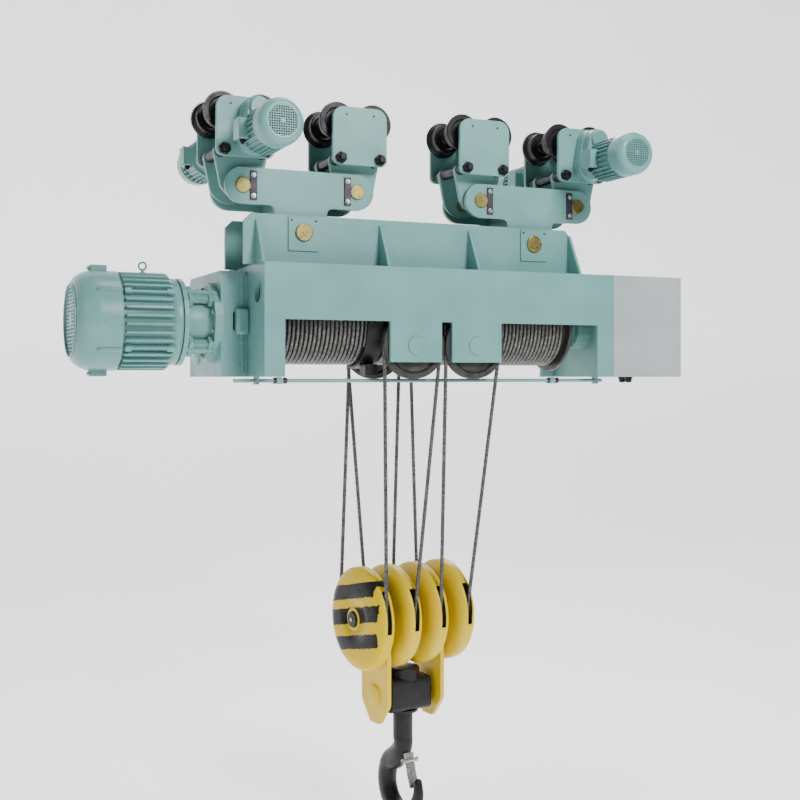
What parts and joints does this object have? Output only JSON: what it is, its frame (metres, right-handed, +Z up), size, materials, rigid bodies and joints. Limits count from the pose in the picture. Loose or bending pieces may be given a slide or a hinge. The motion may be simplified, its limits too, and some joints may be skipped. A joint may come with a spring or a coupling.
{
  "type": "electric wire rope hoist",
  "caption": "Heavy electric wire rope hoist hung from bogie trolleys on a track beam, with drum, conical motor, control box, multi-fall reeving and a guarded hook block.",
  "frame": {"origin": "middle of the four trolleys, on the surface of the track flange that the wheels run on", "axes": "+X along the drum and the track towards the control box, +Y across the track, +Z up"},
  "size_m": [3.1006, 1.2706, 3.5687],
  "materials": {
    "green_paint": "satin enamel",
    "grey_paint": "satin",
    "yellow_paint": "gloss enamel",
    "wheel_black": "oiled",
    "zinc_pin": "yellow zinc plate",
    "black_forging": "black paint",
    "black_paint": "satin",
    "sheave_iron": "bare",
    "rope_wire": "greased steel wire",
    "drum_rope": "greased steel rope on an iron drum",
    "rotor_steel": "bare",
    "bare_steel": "brushed"
  },
  "bodies": {
    "hoist_frame": {"main_frame": "green_paint", "gear_case": "green_paint", "motor_housing": "green_paint", "motor_cowl": "green_paint", "electrics_box": "grey_paint", "bogie_pin_left": "zinc_pin", "bogie_pin_right": "zinc_pin", "wire_rope": "rope_wire"},
    "lid": {"electrics_lid": "grey_paint"},
    "rotor": {"motor_rotor": "rotor_steel"},
    "drum": {"drum": "drum_rope"},
    "guide": {"rope_guide": "black_paint"},
    "limit": {"limit_rod": "green_paint"},
    "hook_block": {"cheek_left": "yellow_paint", "cheek_right": "yellow_paint", "sheave_axle": "black_forging", "guard_1": "yellow_paint", "guard_2": "yellow_paint", "guard_3": "yellow_paint", "guard_4": "yellow_paint"},
    "upper_sheave_1": {"upper_sheave_1": "green_paint"},
    "upper_sheave_2": {"upper_sheave_2": "green_paint"},
    "upper_sheave_3": {"upper_sheave_3": "green_paint"},
    "block_sheave_1": {"block_sheave_1": "sheave_iron"},
    "block_sheave_2": {"block_sheave_2": "sheave_iron"},
    "block_sheave_3": {"block_sheave_3": "sheave_iron"},
    "block_sheave_4": {"block_sheave_4": "sheave_iron"},
    "crosshead": {"crosshead": "black_forging"},
    "hook": {"hook": "black_forging"},
    "latch": {"hook_latch": "bare_steel"},
    "bogie_left": {"bogie_beam_left": "green_paint", "trolley_pin_1": "zinc_pin", "trolley_pin_2": "zinc_pin"},
    "trolley_1": {"trolley_frame_1": "green_paint", "drive_1_front": "green_paint", "drive_1_back": "green_paint"},
    "wheel_1_1": {"wheel_1_1": "wheel_black"},
    "wheel_1_2": {"wheel_1_2": "wheel_black"},
    "wheel_1_3": {"wheel_1_3": "wheel_black"},
    "wheel_1_4": {"wheel_1_4": "wheel_black"},
    "trolley_2": {"trolley_frame_2": "green_paint"},
    "wheel_2_1": {"wheel_2_1": "wheel_black"},
    "wheel_2_2": {"wheel_2_2": "wheel_black"},
    "wheel_2_3": {"wheel_2_3": "wheel_black"},
    "wheel_2_4": {"wheel_2_4": "wheel_black"},
    "bogie_right": {"bogie_beam_right": "green_paint", "trolley_pin_3": "zinc_pin", "trolley_pin_4": "zinc_pin"},
    "trolley_3": {"trolley_frame_3": "green_paint"},
    "wheel_3_1": {"wheel_3_1": "wheel_black"},
    "wheel_3_2": {"wheel_3_2": "wheel_black"},
    "wheel_3_3": {"wheel_3_3": "wheel_black"},
    "wheel_3_4": {"wheel_3_4": "wheel_black"},
    "trolley_4": {"trolley_frame_4": "green_paint", "drive_4_front": "green_paint", "drive_4_back": "green_paint"},
    "wheel_4_1": {"wheel_4_1": "wheel_black"},
    "wheel_4_2": {"wheel_4_2": "wheel_black"},
    "wheel_4_3": {"wheel_4_3": "wheel_black"},
    "wheel_4_4": {"wheel_4_4": "wheel_black"}
  },
  "joints": [
    {"name": "hook_travel", "type": "slide", "parent": "hoist_frame", "child": "hook_block", "axis": [0, 0, 1], "range_m": [0, 0.75], "deforming": ["wire_rope"]},
    {"name": "drum_turn", "type": "hinge", "parent": "hoist_frame", "child": "drum", "pos_m": [0, 0, -0.8905], "axis": [1, 0, 0], "continuous": true},
    {"name": "rotor_turn", "type": "hinge", "parent": "hoist_frame", "child": "rotor", "pos_m": [-1.3, 0.15, -0.8925], "axis": [1, 0, 0], "continuous": true},
    {"name": "guide_travel", "type": "slide", "parent": "hoist_frame", "child": "guide", "axis": [1, 0, 0], "range_m": [0, 0.11]},
    {"name": "limit_rod_travel", "type": "slide", "parent": "hoist_frame", "child": "limit", "axis": [1, 0, 0], "range_m": [-0.008, 0.008]},
    {"name": "lid_open", "type": "hinge", "parent": "hoist_frame", "child": "lid", "pos_m": [1.4523, 0.29, -0.8905], "axis": [0, 0, 1], "range_deg": [0, 110]},
    {"name": "upper_sheave_1_turn", "type": "hinge", "parent": "hoist_frame", "child": "upper_sheave_1", "pos_m": [-0.091, -0.2475, -1.0025], "axis": [0, 1, 0], "continuous": true},
    {"name": "upper_sheave_2_turn", "type": "hinge", "parent": "hoist_frame", "child": "upper_sheave_2", "pos_m": [0.235, -0.2475, -1.0025], "axis": [0, 1, 0], "continuous": true},
    {"name": "upper_sheave_3_turn", "type": "hinge", "parent": "hoist_frame", "child": "upper_sheave_3", "pos_m": [-0.091, 0.2475, -1.0025], "axis": [0, 1, 0], "continuous": true},
    {"name": "block_sheave_1_turn", "type": "hinge", "parent": "hook_block", "child": "block_sheave_1", "pos_m": [-0.2666, -0.03684, -2.3375], "axis": [0.9877, 0.1564, 0], "continuous": true},
    {"name": "block_sheave_2_turn", "type": "hinge", "parent": "hook_block", "child": "block_sheave_2", "pos_m": [-0.11153, -0.01228, -2.3375], "axis": [0.9877, 0.1564, 0], "continuous": true},
    {"name": "block_sheave_3_turn", "type": "hinge", "parent": "hook_block", "child": "block_sheave_3", "pos_m": [0.04353, 0.01228, -2.3375], "axis": [0.9877, 0.1564, 0], "continuous": true},
    {"name": "block_sheave_4_turn", "type": "hinge", "parent": "hook_block", "child": "block_sheave_4", "pos_m": [0.1986, 0.03684, -2.3375], "axis": [0.9877, 0.1564, 0], "continuous": true},
    {"name": "crosshead_tilt", "type": "hinge", "parent": "hook_block", "child": "crosshead", "pos_m": [-0.034, 0, -2.7225], "axis": [0.9877, 0.1564, 0], "range_deg": [-6, 6]},
    {"name": "hook_swivel", "type": "hinge", "parent": "crosshead", "child": "hook", "pos_m": [-0.034, 0, -3.0375], "axis": [0, 0, 1], "continuous": true},
    {"name": "latch_open", "type": "hinge", "parent": "hook", "child": "latch", "pos_m": [-0.02399, -0.06321, -3.0595], "axis": [0.9877, 0.1564, 0], "range_deg": [0, 35], "stiffness_Nm_per_rad": 0.6, "springref_deg": -22.92},
    {"name": "bogie_left_rock", "type": "hinge", "parent": "hoist_frame", "child": "bogie_left", "pos_m": [-0.62, 0, -0.4765], "axis": [0, 1, 0], "range_deg": [-4, 4]},
    {"name": "trolley_1_swing", "type": "hinge", "parent": "bogie_left", "child": "trolley_1", "pos_m": [-0.9035, 0, -0.2645], "axis": [0, 1, 0], "range_deg": [-4, 4]},
    {"name": "wheel_1_1_turn", "type": "hinge", "parent": "trolley_1", "child": "wheel_1_1", "pos_m": [-0.9965, -0.108, 0.075], "axis": [0, 1, 0], "continuous": true},
    {"name": "wheel_1_2_turn", "type": "hinge", "parent": "trolley_1", "child": "wheel_1_2", "pos_m": [-0.8105, -0.108, 0.075], "axis": [0, 1, 0], "continuous": true},
    {"name": "wheel_1_3_turn", "type": "hinge", "parent": "trolley_1", "child": "wheel_1_3", "pos_m": [-0.9965, 0.108, 0.075], "axis": [0, 1, 0], "continuous": true},
    {"name": "wheel_1_4_turn", "type": "hinge", "parent": "trolley_1", "child": "wheel_1_4", "pos_m": [-0.8105, 0.108, 0.075], "axis": [0, 1, 0], "continuous": true},
    {"name": "trolley_2_swing", "type": "hinge", "parent": "bogie_left", "child": "trolley_2", "pos_m": [-0.3365, 0, -0.2645], "axis": [0, 1, 0], "range_deg": [-4, 4]},
    {"name": "wheel_2_1_turn", "type": "hinge", "parent": "trolley_2", "child": "wheel_2_1", "pos_m": [-0.4295, -0.108, 0.075], "axis": [0, 1, 0], "continuous": true},
    {"name": "wheel_2_2_turn", "type": "hinge", "parent": "trolley_2", "child": "wheel_2_2", "pos_m": [-0.2435, -0.108, 0.075], "axis": [0, 1, 0], "continuous": true},
    {"name": "wheel_2_3_turn", "type": "hinge", "parent": "trolley_2", "child": "wheel_2_3", "pos_m": [-0.4295, 0.108, 0.075], "axis": [0, 1, 0], "continuous": true},
    {"name": "wheel_2_4_turn", "type": "hinge", "parent": "trolley_2", "child": "wheel_2_4", "pos_m": [-0.2435, 0.108, 0.075], "axis": [0, 1, 0], "continuous": true},
    {"name": "bogie_right_rock", "type": "hinge", "parent": "hoist_frame", "child": "bogie_right", "pos_m": [0.62, 0, -0.4765], "axis": [0, 1, 0], "range_deg": [-4, 4]},
    {"name": "trolley_3_swing", "type": "hinge", "parent": "bogie_right", "child": "trolley_3", "pos_m": [0.3365, 0, -0.2645], "axis": [0, 1, 0], "range_deg": [-4, 4]},
    {"name": "wheel_3_1_turn", "type": "hinge", "parent": "trolley_3", "child": "wheel_3_1", "pos_m": [0.2435, -0.108, 0.075], "axis": [0, 1, 0], "continuous": true},
    {"name": "wheel_3_2_turn", "type": "hinge", "parent": "trolley_3", "child": "wheel_3_2", "pos_m": [0.4295, -0.108, 0.075], "axis": [0, 1, 0], "continuous": true},
    {"name": "wheel_3_3_turn", "type": "hinge", "parent": "trolley_3", "child": "wheel_3_3", "pos_m": [0.2435, 0.108, 0.075], "axis": [0, 1, 0], "continuous": true},
    {"name": "wheel_3_4_turn", "type": "hinge", "parent": "trolley_3", "child": "wheel_3_4", "pos_m": [0.4295, 0.108, 0.075], "axis": [0, 1, 0], "continuous": true},
    {"name": "trolley_4_swing", "type": "hinge", "parent": "bogie_right", "child": "trolley_4", "pos_m": [0.9035, 0, -0.2645], "axis": [0, 1, 0], "range_deg": [-4, 4]},
    {"name": "wheel_4_1_turn", "type": "hinge", "parent": "trolley_4", "child": "wheel_4_1", "pos_m": [0.8105, -0.108, 0.075], "axis": [0, 1, 0], "continuous": true},
    {"name": "wheel_4_2_turn", "type": "hinge", "parent": "trolley_4", "child": "wheel_4_2", "pos_m": [0.9965, -0.108, 0.075], "axis": [0, 1, 0], "continuous": true},
    {"name": "wheel_4_3_turn", "type": "hinge", "parent": "trolley_4", "child": "wheel_4_3", "pos_m": [0.8105, 0.108, 0.075], "axis": [0, 1, 0], "continuous": true},
    {"name": "wheel_4_4_turn", "type": "hinge", "parent": "trolley_4", "child": "wheel_4_4", "pos_m": [0.9965, 0.108, 0.075], "axis": [0, 1, 0], "continuous": true}
  ],
  "couplings": [
    {"joint": "drum_turn", "follows": "hook_travel", "rad_per_m": 41.026},
    {"joint": "rotor_turn", "follows": "hook_travel", "rad_per_m": -2502.6},
    {"joint": "guide_travel", "follows": "hook_travel", "ratio": 0.14038},
    {"joint": "upper_sheave_1_turn", "follows": "hook_travel", "rad_per_m": -40.541},
    {"joint": "upper_sheave_2_turn", "follows": "hook_travel", "rad_per_m": -13.514},
    {"joint": "upper_sheave_3_turn", "follows": "hook_travel", "rad_per_m": -27.027},
    {"joint": "block_sheave_1_turn", "follows": "hook_travel", "rad_per_m": 31.818},
    {"joint": "block_sheave_2_turn", "follows": "hook_travel", "rad_per_m": -22.727},
    {"joint": "block_sheave_3_turn", "follows": "hook_travel", "rad_per_m": 13.636},
    {"joint": "block_sheave_4_turn", "follows": "hook_travel", "rad_per_m": -4.5455},
    {"joint": "wheel_1_2_turn", "follows": "wheel_1_1_turn", "ratio": 1},
    {"joint": "wheel_1_3_turn", "follows": "wheel_1_1_turn", "ratio": 1},
    {"joint": "wheel_1_4_turn", "follows": "wheel_1_1_turn", "ratio": 1},
    {"joint": "wheel_2_1_turn", "follows": "wheel_1_1_turn", "ratio": 1},
    {"joint": "wheel_2_2_turn", "follows": "wheel_1_1_turn", "ratio": 1},
    {"joint": "wheel_2_3_turn", "follows": "wheel_1_1_turn", "ratio": 1},
    {"joint": "wheel_2_4_turn", "follows": "wheel_1_1_turn", "ratio": 1},
    {"joint": "wheel_3_1_turn", "follows": "wheel_1_1_turn", "ratio": 1},
    {"joint": "wheel_3_2_turn", "follows": "wheel_1_1_turn", "ratio": 1},
    {"joint": "wheel_3_3_turn", "follows": "wheel_1_1_turn", "ratio": 1},
    {"joint": "wheel_3_4_turn", "follows": "wheel_1_1_turn", "ratio": 1},
    {"joint": "wheel_4_1_turn", "follows": "wheel_1_1_turn", "ratio": 1},
    {"joint": "wheel_4_2_turn", "follows": "wheel_1_1_turn", "ratio": 1},
    {"joint": "wheel_4_3_turn", "follows": "wheel_1_1_turn", "ratio": 1},
    {"joint": "wheel_4_4_turn", "follows": "wheel_1_1_turn", "ratio": 1}
  ]
}
